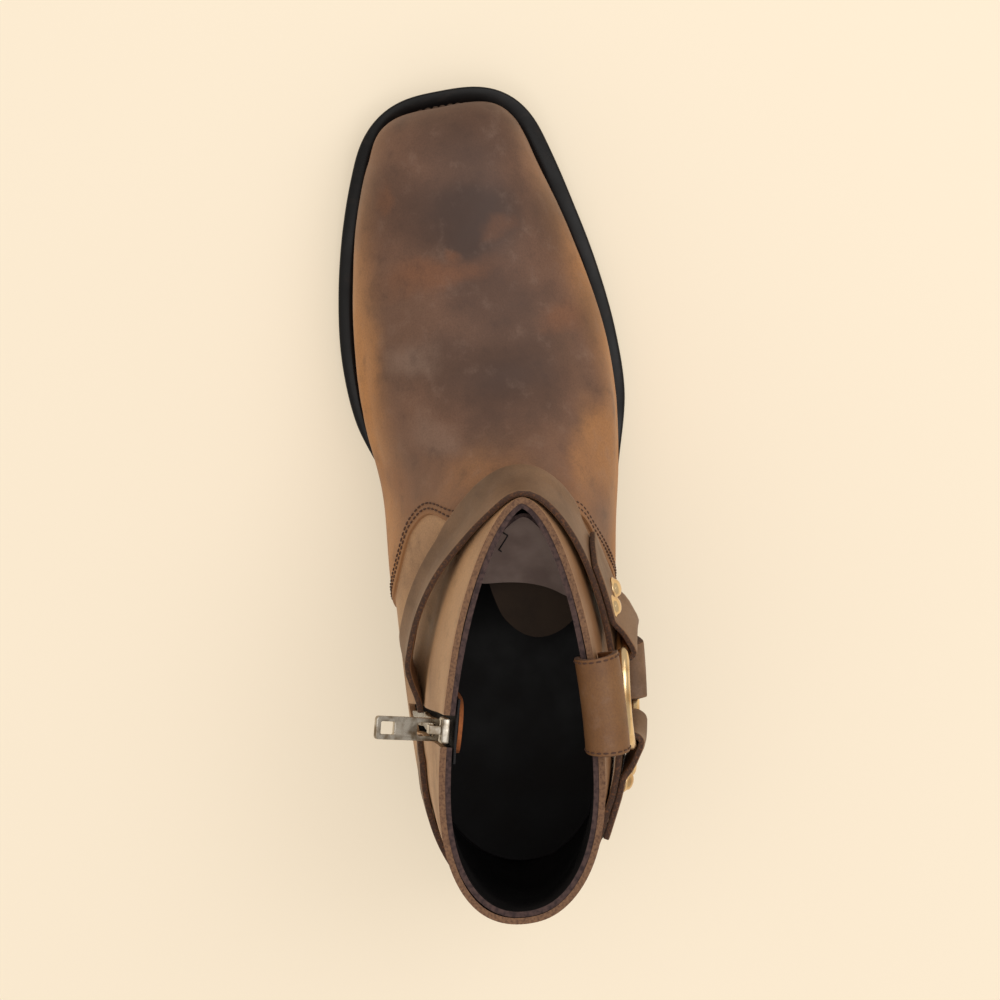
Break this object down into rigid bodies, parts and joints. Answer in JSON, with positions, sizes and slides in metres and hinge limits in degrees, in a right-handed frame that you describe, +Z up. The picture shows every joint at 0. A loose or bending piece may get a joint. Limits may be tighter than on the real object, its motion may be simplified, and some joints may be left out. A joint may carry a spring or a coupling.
{
  "type": "biker boot",
  "caption": "Ankle-high biker boot for the right foot: square toe, tapered stacked heel, ring harness with riveted straps, outer pull loop and inner side zip.",
  "frame": {"origin": "on the floor, on the flat underside of the heel's top lift, near its middle", "axes": "+X to the toe, +Y to the inner side of the foot, +Z up"},
  "size_m": [0.3061, 0.1086, 0.1694],
  "materials": {
    "upper_leather": "oiled, distressed brown leather with paler tan edges",
    "strap_leather": "greyer brown leather with dark cut edges",
    "lining": "black leather lining",
    "sole_rubber": "matt charcoal rubber",
    "welt_rubber": "black, half glossy, with a row of stitches",
    "gilt_metal": "polished, pale gold",
    "zip_metal": "aged silver",
    "nail_steel": "dull steel",
    "zip_tape": "black woven tape"
  },
  "bodies": {
    "boot": {"arch_strap": "strap_leather", "harness_ring": "gilt_metal", "heel_block": "sole_rubber", "heel_nail_1": "nail_steel", "heel_nail_2": "nail_steel", "heel_nail_3": "nail_steel", "heel_nail_4": "nail_steel", "heel_nail_5": "nail_steel", "heel_strap": "strap_leather", "insole": "lining", "instep_strap": "strap_leather", "outsole": "sole_rubber", "pull_loop": "strap_leather", "strap_rivet_1": "gilt_metal", "strap_rivet_2": "gilt_metal", "strap_rivet_3": "gilt_metal", "strap_rivet_4": "gilt_metal", "top_lift": "sole_rubber", "upper": "upper_leather", "welt": "welt_rubber", "zip_chain": "zip_metal", "zip_slider": "zip_metal", "zip_tape": "zip_tape"},
    "pull_tab": {"zip_pull_tab": "zip_metal"}
  },
  "joints": [
    {"name": "pull_tab_swing", "type": "hinge", "parent": "boot", "child": "pull_tab", "pos_m": [0.03089, 0.02325, 0.15212], "axis": [-0.9632, 0.1906, 0.1897], "range_deg": [-40, 105]}
  ]
}
